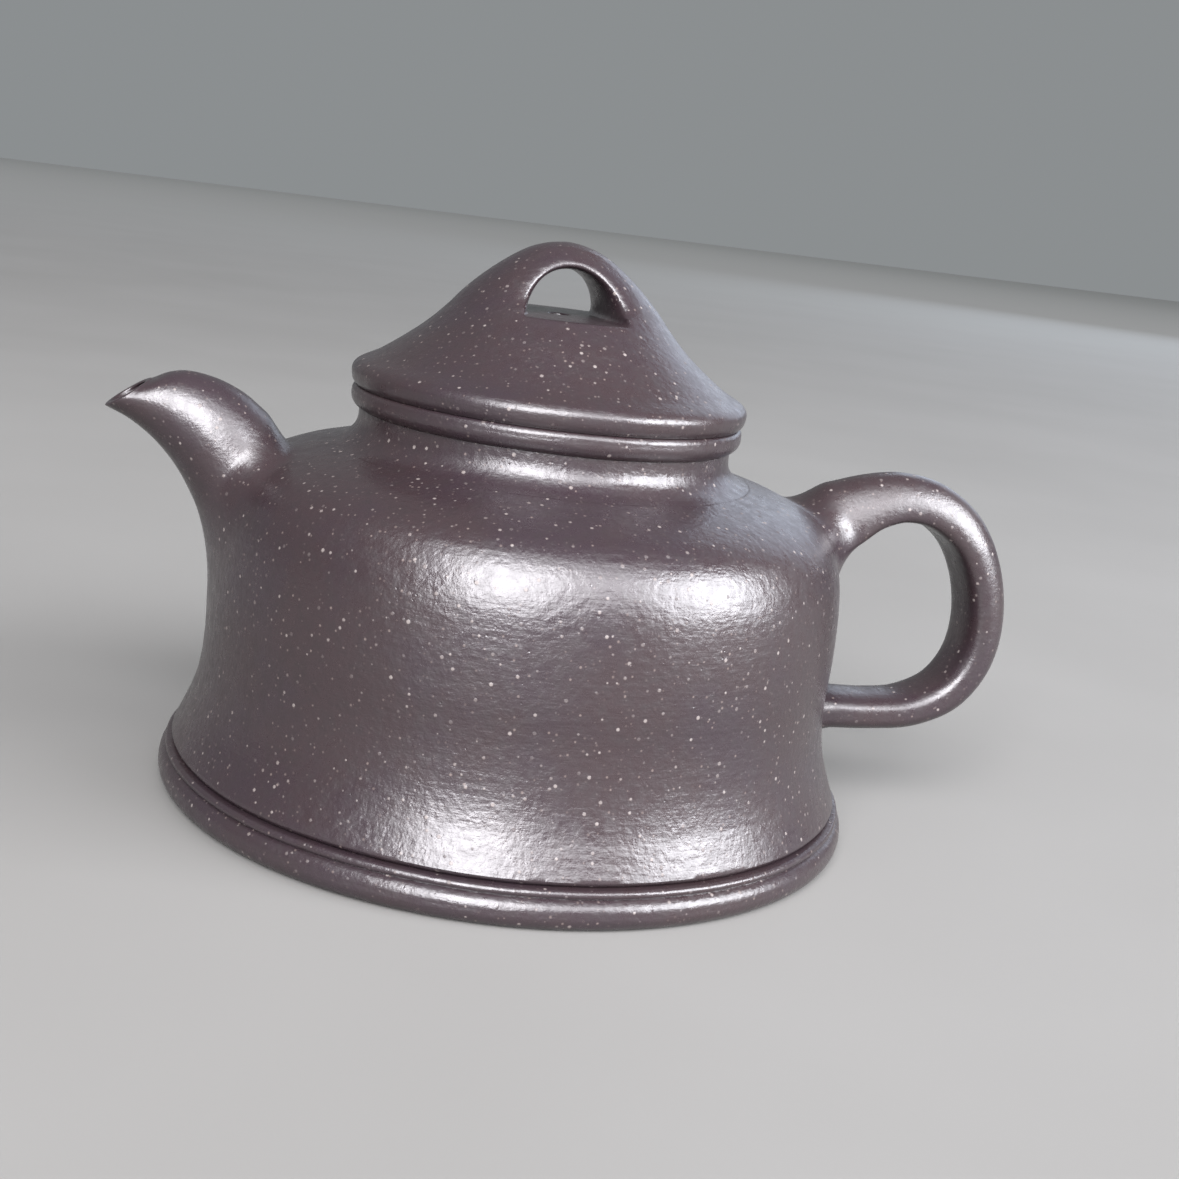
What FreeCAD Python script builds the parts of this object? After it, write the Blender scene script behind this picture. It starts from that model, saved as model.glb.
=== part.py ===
"""Yixing clay teapot: a slab-built round pot with a flared foot, a curved spout and an ear handle,
and a pierced conical lid that lifts off and turns in the mouth.

Frame: +Z up, origin on the pot's axis at the resting plane, spout towards -X, handle towards +X.
Units are millimetres.  Each piece is one member that the potter makes and joins with slip.
"""
import FreeCAD, Part
import math
import os
import Sketcher
from FreeCAD import Placement, Rotation, Vector

os.makedirs("parts", exist_ok=True)
doc = FreeCAD.newDocument("teapot")

# ---------------------------------------------------------------------------------------------
# Driving sizes
# ---------------------------------------------------------------------------------------------
SIZES = (
    # the foot and the base
    ("foot_spread", 5.2, "how far the foot bead stands out beyond the waist"),
    ("foot_bead_height", 4.4, "height of the round foot bead"),
    ("foot_fillet_height", 0.7, "height of the thin fillet line above the bead"),
    ("foot_fillet_step", 1.0, "how far the fillet line stands in from the bead"),
    ("foot_land_width", 3.6, "width of the flat ring that the pot rests on"),
    ("foot_top_step", 0.3, "height of the seat of the wall above the fillet line"),
    ("base_thickness", 3.4, "thickness of the base slab, whose top is level with that seat"),
    ("base_bearing", 2.0, "how far the base slab reaches under the wall"),
    ("groove_depth", 0.65, "depth of the cut line between foot and wall"),
    ("groove_height", 0.6, "height of the cut line between foot and wall"),
    # the wall
    ("wall_foot_spread", 3.55, "how far the wall stands out beyond the waist at the cut line"),
    ("flare_spread", 1.2, "how far it stands out beyond the waist at the middle of the flare"),
    ("flare_height", 14.6, "height of the flare above the base slab"),
    ("flare_middle", 0.45, "share of the flare's height at which its middle radius lies"),
    ("waist_radius", 44.8, "outside radius of the wall at the waist"),
    ("belly_swell", 0.15, "how far the wall swells out above the waist"),
    ("belly_middle", 0.6, "share of the way from waist to shoulder at which it swells most"),
    ("wall_height", 41.9, "height of the wall above the base slab"),
    ("shoulder_drop", 8.2, "height of the rounded shoulder below the top slab"),
    ("shoulder_turn", 1.2, "how far the wall leans in below the shoulder"),
    ("shoulder_bulge", 0.69, "share of the shoulder's width at the middle of its arc"),
    ("shoulder_dip", 0.34, "share of the shoulder's drop at the middle of its arc"),
    ("inner_bulge", 0.72, "share of the inner shoulder's width at the middle of its arc"),
    ("inner_dip", 0.32, "share of the shoulder's drop at the middle of the inner arc"),
    ("wall_thickness", 2.8, "thickness of the wall and the top slab"),
    ("shoulder_width", 7.6, "how far the shoulder rounds inwards to the top slab"),
    ("top_slab_rise", 1.9, "how far the top slab rises to the neck"),
    # the neck and the mouth
    ("mouth_radius", 23.5, "inside radius of the mouth"),
    ("neck_thickness", 2.7, "thickness of the neck at its waist"),
    ("neck_flare", 3.4, "how far the neck spreads at its foot"),
    ("neck_height", 4.95, "height of the neck"),
    ("neck_hollow_out", 0.3, "share of the neck's flare left at the middle of its hollow"),
    ("neck_hollow_up", 0.28, "share of the neck's height at the middle of its hollow"),
    ("neck_straight", 0.8, "share of the neck's height at which it becomes upright"),
    ("bead_swell", 1.6, "how far the mouth bead and the lid's rim bead stand out from the neck"),
    ("bead_lip", 0.8, "how far the beads fall back at the seam between pot and lid"),
    ("mouth_bead_height", 3.2, "height of the mouth bead"),
    ("bead_foot_step", 0.4, "how far the mouth bead stands out from the neck at its foot"),
    ("bead_middle", 0.54, "share of each bead's height at which it stands out furthest"),
    # the lid
    ("rim_bead_height", 3.0, "height of the lid's rim bead"),
    ("skirt_depth", 7.6, "depth of the lid's skirt inside the mouth"),
    ("skirt_thickness", 2.2, "thickness of the lid's skirt"),
    ("skirt_clearance", 0.3, "gap all round between the skirt and the mouth"),
    ("cover_height", 8.9, "height of the conical cover up to the floor of its bridge"),
    ("cover_radius", 15.7, "radius of the cover at the floor of the bridge"),
    ("cover_hollow", 0.75, "how far the cone is hollowed inwards half way up"),
    ("cover_middle", 0.46, "share of the cover's height at which it is hollowed most"),
    ("cover_thickness", 3.0, "thickness of the cover"),
    ("vent_radius", 1.5, "radius of the air hole below the bridge"),
    ("bridge_height", 10.5, "height of the bridge above its floor"),
    ("bridge_crown", 3.1, "thickness of the bridge over the opening"),
    ("bridge_gap", 7.4, "half the width of the opening at its floor"),
    ("bridge_depth", 10.5, "half the depth of the bridge from front to back"),
    ("bridge_corner_out", 0.68, "share of the cover's radius where the tip starts to round"),
    ("bridge_corner_up", 0.53, "share of the bridge's height where the tip starts to round"),
    ("bridge_round_out", 0.38, "share of the cover's radius at the middle of the round tip"),
    ("bridge_round_up", 0.88, "share of the bridge's height at the middle of the round tip"),
    # the spout
    ("spout_drop", 5.8, "height of the spout's root centre below the top of the wall"),
    ("spout_lip_out", 15.7, "how far the cut lip stands out from the spout's root centre"),
    ("spout_lip_up", 9.5, "how far the cut lip stands above the spout's root centre"),
    ("spout_bore", 2.4, "radius of the spout's channel at the mouth"),
    ("spout_wall", 1.25, "wall of the spout at the mouth"),
    ("spout_root_wall", 2.4, "wall of the spout at its root"),
    ("strainer_hole_radius", 1.4, "radius of each hole through the wall into the spout"),
    ("strainer_pitch", 4.2, "distance between the holes through the wall"),
    ("strainer_rise", 1.0, "height of the middle hole above the spout's root centre"),
    # the handle
    ("ear_reach", 26.7, "how far the handle's centre line stands out from the waist"),
    ("ear_centre_out", 10.4, "how far the handle's curve has its centre out from the waist"),
    ("ear_rise", 1.2, "height of the handle's top centre line above the top of the wall"),
    ("ear_foot_height", 15.9, "height of the handle's lower end"),
    ("ear_widest_height", 29.3, "height at which the handle stands out furthest"),
    ("ear_thickness", 7.2, "thickness of the handle seen from the side"),
    ("ear_width", 9.8, "width of the handle seen from behind"),
    ("ear_foot_thickness", 6.6, "thickness of the handle's lower end"),
    ("ear_foot_depth", 2.0, "how far the lower end reaches inside the waist before trimming"),
    ("ear_foot_spread", 1.0, "how much wider the handle is where its lower end is joined"),
    ("ear_foot_swell", 0.6, "how much thicker the handle is where its lower end is joined"),
    ("ear_root_depth", 5.5, "how far the upper root reaches inside the waist before trimming"),
    ("ear_root_drop", 6.3, "height of the upper root's centre below the top of the wall"),
    ("ear_spring_out", 2.6, "how far outside the waist the root has become the handle"),
    ("ear_spring_drop", 2.3, "height of that section's centre below the top of the wall"),
    ("ear_spring_spread", 0.6, "how much wider the handle still is at that section"),
    ("ear_spring_swell", 3.6, "how much thicker the handle still is at that section"),
    ("ear_root_thickness", 15.5, "thickness of the handle's upper root"),
    ("ear_root_width", 14.5, "width of the handle's upper root"),
)

dims = doc.addObject("Spreadsheet::Sheet", "dims")
for row, (alias, value, meaning) in enumerate(SIZES, start=1):
    dims.set(f"A{row}", meaning)
    dims.set(f"B{row}", str(value))
    dims.setAlias(f"B{row}", alias)
doc.recompute()


def size(expression):
    """The number that an expression over the sheet stands for."""
    result = dims.evalExpression(expression)
    return float(getattr(result, "Value", result))


# Heights that several pieces share, each worked out once from the sheet.
FILLET_TOP = "(dims.foot_bead_height + dims.foot_fillet_height)"
BASE_TOP = f"({FILLET_TOP} + dims.foot_top_step)"
BASE_UNDER = f"({BASE_TOP} - dims.base_thickness)"
WALL_TOP = f"({BASE_TOP} + dims.wall_height)"
SHOULDER_START = f"({WALL_TOP} - dims.shoulder_drop)"
WAIST = f"({BASE_TOP} + dims.flare_height)"
SLAB_TOP = f"({WALL_TOP} + dims.top_slab_rise)"
NECK_TOP = f"({SLAB_TOP} + dims.neck_height)"
SEAM = f"({NECK_TOP} + dims.mouth_bead_height)"
RIM_TOP = f"({SEAM} + dims.rim_bead_height)"
BRIDGE_FLOOR = f"({RIM_TOP} + dims.cover_height)"
BRIDGE_TOP = f"({BRIDGE_FLOOR} + dims.bridge_height)"

# Radii that several pieces share.
FOOT_RADIUS = "(dims.waist_radius + dims.foot_spread)"
WALL_FOOT_RADIUS = "(dims.waist_radius + dims.wall_foot_spread)"
FLARE_RADIUS = "(dims.waist_radius + dims.flare_spread)"
INNER_RADIUS = "(dims.waist_radius - dims.wall_thickness)"
BASE_RADIUS = f"({INNER_RADIUS} + dims.base_bearing)"
NECK_RADIUS = "(dims.mouth_radius + dims.neck_thickness)"
NECK_FOOT = f"({NECK_RADIUS} + dims.neck_flare)"
BEAD_RADIUS = f"({NECK_RADIUS} + dims.bead_swell)"
SEAM_RADIUS = f"({BEAD_RADIUS} - dims.bead_lip)"
SKIRT_RADIUS = "(dims.mouth_radius - dims.skirt_clearance)"
SKIRT_BORE = f"({SKIRT_RADIUS} - dims.skirt_thickness)"
SHOULDER_RADIUS = "(dims.waist_radius - dims.shoulder_turn)"
SLAB_RADIUS = f"({SHOULDER_RADIUS} - dims.shoulder_width)"


# ---------------------------------------------------------------------------------------------
# Helpers
# ---------------------------------------------------------------------------------------------
def origin_plane(body, role):
    """The body's own origin plane with this role."""
    return next(item for item in body.Origin.OriginFeatures if item.Role == role)


def place_point(sketch, geometry, vertex, across, up):
    """Hold one sketch point at two distances from the origin, each bound to the sheet."""
    for kind, axis, expression in (("DistanceX", -2, across), ("DistanceY", -1, up)):
        if expression == "0":
            sketch.addConstraint(Sketcher.Constraint("PointOnObject", geometry, vertex, axis))
            continue
        held = Sketcher.Constraint(kind, -1, 1, geometry, vertex, size(expression))
        index = sketch.addConstraint(held)
        sketch.setExpression(f"Constraints[{index}]", expression)


def draw_outline(sketch, outline):
    """Draw a closed outline.  Each corner is (across, up); a corner followed by a third and a
    fourth value is joined to the next one by an arc through that point instead of by a line."""
    corners = [Vector(size(item[0]), size(item[1]), 0) for item in outline]
    ends = []
    for number, item in enumerate(outline):
        start = corners[number]
        finish = corners[(number + 1) % len(outline)]
        if len(item) == 2:
            geometry = sketch.addGeometry(Part.LineSegment(start, finish), False)
            ends.append((geometry, 1, 2))
            continue
        middle = Vector(size(item[2]), size(item[3]), 0)
        centre = Part.Circle(start, middle, finish).Center
        clockwise = (middle - start).cross(finish - middle).z < 0
        first, last = (finish, start) if clockwise else (start, finish)
        bearings = [math.atan2(end.y - centre.y, end.x - centre.x) for end in (first, last)]
        circle = Part.Circle(centre, Vector(0, 0, 1), centre.distanceToPoint(start))
        geometry = sketch.addGeometry(Part.ArcOfCircle(circle, *bearings), False)
        ends.append((geometry, 2, 1) if clockwise else (geometry, 1, 2))
        point = sketch.addGeometry(Part.Point(middle), True)
        sketch.addConstraint(Sketcher.Constraint("PointOnObject", point, 1, geometry))
        place_point(sketch, point, 1, item[2], item[3])
    for number, (geometry, first, last) in enumerate(ends):
        following, next_first, unused_last = ends[(number + 1) % len(ends)]
        sketch.addConstraint(
            Sketcher.Constraint("Coincident", geometry, last, following, next_first))
        place_point(sketch, geometry, first, outline[number][0], outline[number][1])


def new_sketch(body, name, role):
    """A sketch attached flat to one of the body's own origin planes."""
    sketch = body.newObject("Sketcher::SketchObject", name)
    sketch.AttachmentSupport = [(origin_plane(body, role), "")]
    sketch.MapMode = "FlatFace"
    return sketch


def turned_body(label, outline):
    """A piece turned about the pot's axis from its half section."""
    body = doc.addObject("PartDesign::Body", label)
    body.Label = label
    sketch = new_sketch(body, f"{label}_section", "XZ_Plane")
    draw_outline(sketch, outline)
    turned = body.newObject("PartDesign::Revolution", f"{label}_turned")
    turned.Profile = sketch
    turned.ReferenceAxis = (sketch, ["V_Axis"])
    turned.Angle = 360
    doc.recompute()
    return body


# ---------------------------------------------------------------------------------------------
# The pot, from the foot up
# ---------------------------------------------------------------------------------------------
def make_base_slab():
    return turned_body("base_slab", [
        ("0", BASE_UNDER),
        (BASE_RADIUS, BASE_UNDER),
        (BASE_RADIUS, BASE_TOP),
        ("0", BASE_TOP),
    ])


LAND_OUTSIDE = f"({BASE_RADIUS} + dims.foot_land_width)"
FILLET_RADIUS = f"({FOOT_RADIUS} - dims.foot_fillet_step)"
GROOVE_RADIUS = f"({WALL_FOOT_RADIUS} - dims.groove_depth)"


def make_foot_bead():
    return turned_body("foot_bead", [
        (BASE_RADIUS, "0"),
        (LAND_OUTSIDE, "0", FOOT_RADIUS, "dims.foot_bead_height / 2"),
        (FILLET_RADIUS, "dims.foot_bead_height"),
        (FILLET_RADIUS, FILLET_TOP),
        (GROOVE_RADIUS, BASE_TOP),
        (BASE_RADIUS, BASE_TOP),
    ])


# The outside of the wall: cut line, hollow flare, upright belly and rounded shoulder.
WALL_OUTSIDE = [
    (GROOVE_RADIUS, BASE_TOP),
    (WALL_FOOT_RADIUS, f"{BASE_TOP} + dims.groove_height",
     FLARE_RADIUS, f"{BASE_TOP} + dims.flare_height * dims.flare_middle"),
    ("dims.waist_radius", WAIST,
     "dims.waist_radius + dims.belly_swell",
     f"{WAIST} + ({SHOULDER_START} - {WAIST}) * dims.belly_middle"),
    (SHOULDER_RADIUS, SHOULDER_START,
     f"{SLAB_RADIUS} + ({SHOULDER_RADIUS} - {SLAB_RADIUS}) * dims.shoulder_bulge",
     f"{WALL_TOP} - dims.shoulder_drop * dims.shoulder_dip"),
]
INNER_TOP = f"({WALL_TOP} - dims.wall_thickness)"


def make_wall_body():
    inner_shoulder = f"({SHOULDER_START} - dims.wall_thickness)"
    return turned_body("wall_blank", WALL_OUTSIDE + [
        (SLAB_RADIUS, WALL_TOP),
        (SLAB_RADIUS, INNER_TOP,
         f"{SLAB_RADIUS} + ({INNER_RADIUS} - {SLAB_RADIUS}) * dims.inner_bulge",
         f"{INNER_TOP} - dims.shoulder_drop * dims.inner_dip"),
        (INNER_RADIUS, inner_shoulder),
        (INNER_RADIUS, BASE_TOP),
    ])


def make_shoulder_slab():
    return turned_body("shoulder_slab", [
        ("dims.mouth_radius", INNER_TOP),
        (SLAB_RADIUS, INNER_TOP),
        (SLAB_RADIUS, WALL_TOP),
        (NECK_FOOT, SLAB_TOP),
        ("dims.mouth_radius", SLAB_TOP),
    ])


def make_neck_ring():
    return turned_body("neck_ring", [
        ("dims.mouth_radius", SLAB_TOP),
        (NECK_FOOT, SLAB_TOP,
         f"{NECK_RADIUS} + dims.neck_flare * dims.neck_hollow_out",
         f"{SLAB_TOP} + dims.neck_height * dims.neck_hollow_up"),
        (NECK_RADIUS, f"{SLAB_TOP} + dims.neck_height * dims.neck_straight"),
        (NECK_RADIUS, NECK_TOP),
        ("dims.mouth_radius", NECK_TOP),
    ])


def make_mouth_bead():
    return turned_body("mouth_bead", [
        ("dims.mouth_radius", NECK_TOP),
        (f"{NECK_RADIUS} + dims.bead_foot_step", NECK_TOP,
         BEAD_RADIUS, f"{NECK_TOP} + dims.mouth_bead_height * dims.bead_middle"),
        (SEAM_RADIUS, SEAM),
        ("dims.mouth_radius", SEAM),
    ])


# ---------------------------------------------------------------------------------------------
# The lid
# ---------------------------------------------------------------------------------------------
def make_lid_skirt():
    return turned_body("lid_skirt", [
        (SKIRT_BORE, f"{SEAM} - dims.skirt_depth"),
        (SKIRT_RADIUS, f"{SEAM} - dims.skirt_depth"),
        (SKIRT_RADIUS, SEAM),
        (SKIRT_BORE, SEAM),
    ])


def make_lid_rim_bead():
    return turned_body("lid_rim_bead", [
        (SKIRT_BORE, SEAM),
        (SEAM_RADIUS, SEAM,
         BEAD_RADIUS, f"{SEAM} + dims.rim_bead_height * dims.bead_middle"),
        (SEAM_RADIUS, RIM_TOP),
        (SKIRT_BORE, RIM_TOP),
    ])


def make_lid_cover():
    middle = f"({SEAM_RADIUS} + dims.cover_radius) / 2 - dims.cover_hollow"
    under_floor = f"({BRIDGE_FLOOR} - dims.cover_thickness)"
    return turned_body("lid_cover", [
        (SKIRT_BORE, RIM_TOP),
        (SEAM_RADIUS, RIM_TOP, middle, f"{RIM_TOP} + dims.cover_height * dims.cover_middle"),
        ("dims.cover_radius", BRIDGE_FLOOR),
        ("dims.vent_radius", BRIDGE_FLOOR),
        ("dims.vent_radius", under_floor),
        ("dims.cover_radius - dims.cover_thickness", under_floor),
    ])


def make_bridge_knob():
    """The rounded tip of the cone, bored through from front to back and pared flat there."""
    corner = f"{BRIDGE_FLOOR} + dims.bridge_height * dims.bridge_corner_up"
    body = turned_body("bridge_knob", [
        ("0", BRIDGE_FLOOR),
        ("dims.cover_radius", BRIDGE_FLOOR),
        ("dims.cover_radius * dims.bridge_corner_out", corner,
         "dims.cover_radius * dims.bridge_round_out",
         f"{BRIDGE_FLOOR} + dims.bridge_height * dims.bridge_round_up"),
        ("0", BRIDGE_TOP),
    ])
    whole = body.Shape.Volume
    opening = new_sketch(body, "bridge_opening", "XZ_Plane")
    draw_outline(opening, [
        ("-dims.bridge_gap", BRIDGE_FLOOR,
         "0", f"{BRIDGE_TOP} - dims.bridge_crown"),
        ("dims.bridge_gap", BRIDGE_FLOOR),
    ])
    bored = body.newObject("PartDesign::Pocket", "bridge_bored")
    bored.Profile = opening
    bored.Type = "ThroughAll"
    bored.SideType = "Symmetric"
    doc.recompute()
    assert body.Shape.Volume < whole, "the bridge is not bored"

    # each flat is cut by a rectangle that is wider than the cone is at the bridge
    reach = "dims.cover_radius * 1.1"
    for side, sign in (("front", "-"), ("back", "")):
        paring = new_sketch(body, f"bridge_{side}", "XY_Plane")
        draw_outline(paring, [
            (f"-({reach})", f"{sign}dims.bridge_depth"),
            (reach, f"{sign}dims.bridge_depth"),
            (reach, f"{sign}({reach})"),
            (f"-({reach})", f"{sign}({reach})"),
        ])
        pared = body.newObject("PartDesign::Pocket", f"bridge_{side}_pared")
        pared.Profile = paring
        pared.Type = "ThroughAll"
        pared.SideType = "Symmetric"
        doc.recompute()
    return body


# ---------------------------------------------------------------------------------------------
# The spout: round sections along a rising curve that levels out at the lip
# ---------------------------------------------------------------------------------------------
SPOUT_ROOT_X = "-dims.waist_radius"
SPOUT_ROOT_Z = f"{WALL_TOP} - dims.spout_drop"
# for each section: steps out and up from the root centre, tilt of the section from upright in
# degrees, outside radius beyond the bore's, and how much of the root wall is left
SPOUT_LINE = (
    ("inside", -6.4, -4.6, 51.0, 8.4, 1.0),
    ("root", 1.5, 4.6, 47.0, 4.9, 0.8),
    ("bend", 5.6, 9.6, 56.0, 2.6, 0.5),
    ("neck", 10.2, 12.1, 68.0, 0.75, 0.15),
    ("lip", 15.4, 13.2, 78.0, 0.0, 0.0),
)
SPOUT_CUT_ANGLE = 35.0
STRAINER_LEAN = 58.0
STRAINER_HOLES = 7
# how many wall thicknesses long each drill is, so that it passes right through
DRILL_LENGTH = 5.0


def section_circle(name, across, up, tilt, radius):
    """A circle whose axis lies in the XZ plane, tilted from +Z towards -X."""
    circle = doc.addObject("Part::Circle", name)
    circle.setExpression("Radius", radius)
    circle.Placement = Placement(Vector(size(across), 0, size(up)), Rotation(Vector(0, 1, 0), -tilt))
    circle.setExpression("Placement.Base.x", across)
    circle.setExpression("Placement.Base.z", up)
    return circle


def loft(name, sections):
    """A smooth solid through closed sections."""
    solid = doc.addObject("Part::Loft", name)
    solid.Sections = sections
    solid.Solid = True
    solid.Ruled = False
    return solid


def cut(name, base, tool):
    """What is left of base outside tool."""
    result = doc.addObject("Part::Cut", name)
    result.Base = base
    result.Tool = tool
    return result


def make_envelope():
    """The solid that the whole outside of the body fills, to trim what is joined to it."""
    return turned_body("pot_envelope", WALL_OUTSIDE + [
        (SLAB_RADIUS, WALL_TOP),
        (NECK_FOOT, SLAB_TOP),
        ("0", SLAB_TOP),
        ("0", BASE_TOP),
    ])


def make_spout(envelope):
    skins = {"outside": [], "channel": []}
    for name, out, up, tilt, extra, share in SPOUT_LINE:
        across = f"{SPOUT_ROOT_X} - {out}"
        height = f"{SPOUT_ROOT_Z} + {up}"
        outside = f"dims.spout_bore + dims.spout_wall + {extra}"
        wall = f"(dims.spout_wall + (dims.spout_root_wall - dims.spout_wall) * {share})"
        skins["outside"].append(
            section_circle(f"spout_{name}_outside", across, height, tilt, outside))
        skins["channel"].append(
            section_circle(f"spout_{name}_channel", across, height, tilt, f"{outside} - {wall}"))
    blank = loft("spout_blank", skins["outside"])
    channel = loft("spout_channel", skins["channel"])
    tube = cut("spout_tube", blank, channel)
    # the lip is sliced off on a slant, so that its lower edge stands out furthest
    slice_box = doc.addObject("Part::Box", "spout_slice")
    for side in ("Length", "Width", "Height"):
        slice_box.setExpression(side, FOOT_RADIUS)
    turn = Rotation(Vector(0, 1, 0), -SPOUT_CUT_ANGLE)
    lip = Vector(size(f"{SPOUT_ROOT_X} - dims.spout_lip_out"), 0,
                 size(f"{SPOUT_ROOT_Z} + dims.spout_lip_up"))
    half = size(FOOT_RADIUS) / 2
    slice_box.Placement = Placement(lip + turn.multVec(Vector(-half, -half, 0)), turn)
    trimmed = cut("spout_trimmed", tube, slice_box)
    spout = cut("spout", trimmed, envelope)
    spout.Label = "spout"
    doc.recompute()
    return spout


def make_body_wall(blank):
    """The wall, pierced with straining holes, one in the middle of a ring of six, where the
    spout is joined."""
    root = Vector(size(SPOUT_ROOT_X), 0, size(f"{SPOUT_ROOT_Z} + dims.strainer_rise"))
    turn = Rotation(Vector(0, 1, 0), -STRAINER_LEAN)
    half_drill = DRILL_LENGTH / 2 * size("dims.wall_thickness")
    holes = []
    for number in range(STRAINER_HOLES):
        drill = doc.addObject("Part::Cylinder", f"strainer_hole_{number}")
        drill.setExpression("Radius", "dims.strainer_hole_radius")
        drill.setExpression("Height", f"dims.wall_thickness * {DRILL_LENGTH}")
        turning = math.tau * number / (STRAINER_HOLES - 1)
        pitch = size("dims.strainer_pitch") if number else 0.0
        offset = Vector(pitch * math.cos(turning), pitch * math.sin(turning), -half_drill)
        drill.Placement = Placement(root + turn.multVec(offset), turn)
        holes.append(drill)
    drills = doc.addObject("Part::MultiFuse", "strainer_holes")
    drills.Shapes = holes
    wall = cut("body_wall", blank, drills)
    wall.Label = "body_wall"
    doc.recompute()
    return wall


# ---------------------------------------------------------------------------------------------
# The handle: an ear that springs from the shoulder and comes back to the wall above the flare
# ---------------------------------------------------------------------------------------------
EAR_CENTRE_X = "(dims.waist_radius + dims.ear_centre_out)"
EAR_TOP = f"({WALL_TOP} + dims.ear_rise)"
# how far the upper root and the section after it are turned about Y, in degrees
EAR_ROOT_TURN = 64.0
EAR_SPRING_TURN = 66.0
# bearings of the sections round the handle's curve, from its top to its lower end, in degrees
EAR_BEARINGS = (86, 52, 18, -18, -54, -86)


def section_ellipse(name, across, up, turn, width, thickness):
    """An oval section whose width runs along Y, turned about Y by an angle."""
    oval = doc.addObject("Part::Ellipse", name)
    wide = size(width) > size(thickness)
    oval.setExpression("MajorRadius", f"({width if wide else thickness}) / 2")
    oval.setExpression("MinorRadius", f"({thickness if wide else width}) / 2")
    upright = Rotation(Vector(0, 1, 0), turn)
    quarter = Rotation(Vector(0, 0, 1), 90 if wide else 0)
    oval.Placement = Placement(Vector(size(across), 0, size(up)), upright.multiply(quarter))
    oval.setExpression("Placement.Base.x", across)
    oval.setExpression("Placement.Base.z", up)
    return oval


def make_handle(envelope):
    reach = f"(dims.waist_radius + dims.ear_reach - {EAR_CENTRE_X})"
    sections = [
        section_ellipse("ear_root", "dims.waist_radius - dims.ear_root_depth",
                        f"{WALL_TOP} - dims.ear_root_drop", EAR_ROOT_TURN,
                        "dims.ear_root_width", "dims.ear_root_thickness"),
        section_ellipse("ear_spring", "dims.waist_radius + dims.ear_spring_out",
                        f"{WALL_TOP} - dims.ear_spring_drop", EAR_SPRING_TURN,
                        "dims.ear_width + dims.ear_spring_spread",
                        "dims.ear_thickness + dims.ear_spring_swell"),
    ]
    rise = f"({EAR_TOP} - dims.ear_widest_height)"
    drop = "(dims.ear_widest_height - dims.ear_foot_height)"
    taper = "(dims.ear_foot_thickness - dims.ear_thickness)"
    for angle in EAR_BEARINGS:
        bend = math.radians(angle)
        half = rise if angle > 0 else drop
        across = f"{EAR_CENTRE_X} + {reach} * {math.cos(bend):.4f}"
        height = f"dims.ear_widest_height + {half} * {math.sin(bend):.4f}"
        along = Vector(size(reach) * math.sin(bend), 0, -size(half) * math.cos(bend))
        turn = math.degrees(math.atan2(along.x, along.z))
        share = (EAR_BEARINGS[0] - angle) / (EAR_BEARINGS[0] - EAR_BEARINGS[-1])
        thickness = f"dims.ear_thickness + {taper} * {share:.2f}"
        sections.append(section_ellipse(f"ear_{len(sections)}", across, height, turn,
                                        "dims.ear_width", thickness))
    sections.append(section_ellipse("ear_foot", "dims.waist_radius - dims.ear_foot_depth",
                                    "dims.ear_foot_height", -90.0,
                                    "dims.ear_width + dims.ear_foot_spread",
                                    "dims.ear_foot_thickness + dims.ear_foot_swell"))
    blank = loft("handle_blank", sections)
    handle = cut("handle", blank, envelope)
    handle.Label = "handle"
    doc.recompute()
    return handle


# ---------------------------------------------------------------------------------------------
# Build, test and write
# ---------------------------------------------------------------------------------------------
envelope = make_envelope()
pieces = [
    make_base_slab(),
    make_foot_bead(),
    make_body_wall(make_wall_body()),
    make_shoulder_slab(),
    make_neck_ring(),
    make_mouth_bead(),
    make_spout(envelope),
    make_handle(envelope),
    make_lid_skirt(),
    make_lid_rim_bead(),
    make_lid_cover(),
    make_bridge_knob(),
]
doc.recompute()

for item in doc.Objects:
    if "Invalid" in item.State or "Error" in item.State:
        raise SystemExit(f"{item.Label} failed: {item.State}")
for piece in pieces:
    shape = piece.Shape
    if shape.isNull() or not shape.isValid():
        raise SystemExit(f"{piece.Label} has no valid shape")
    if len(shape.Solids) != 1:
        raise SystemExit(f"{piece.Label} is {len(shape.Solids)} solids")
    print(f"{piece.Label:16s} {shape.Volume / 1000:8.2f} cm3  {shape.BoundBox}")

for piece in pieces:
    piece.Shape.exportStep(f"parts/{piece.Label}.step")
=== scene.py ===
# %% [markdown]
# # A yixing clay teapot
# A pot like this is not cast or thrown in one go.  The potter beats slabs of clay, rolls them into a
# wall, closes them with a base and a top slab, and joins a bead, a spout and a handle with slip.
# The lid is built the same way.  This lesson follows the potter: each clay member is a piece of its
# own, and all of them share one set of sizes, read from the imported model.

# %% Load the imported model
import cmath
import math

import bmesh
import bpy
from mathutils import Matrix, Vector, noise
from mathutils.bvhtree import BVHTree


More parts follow.
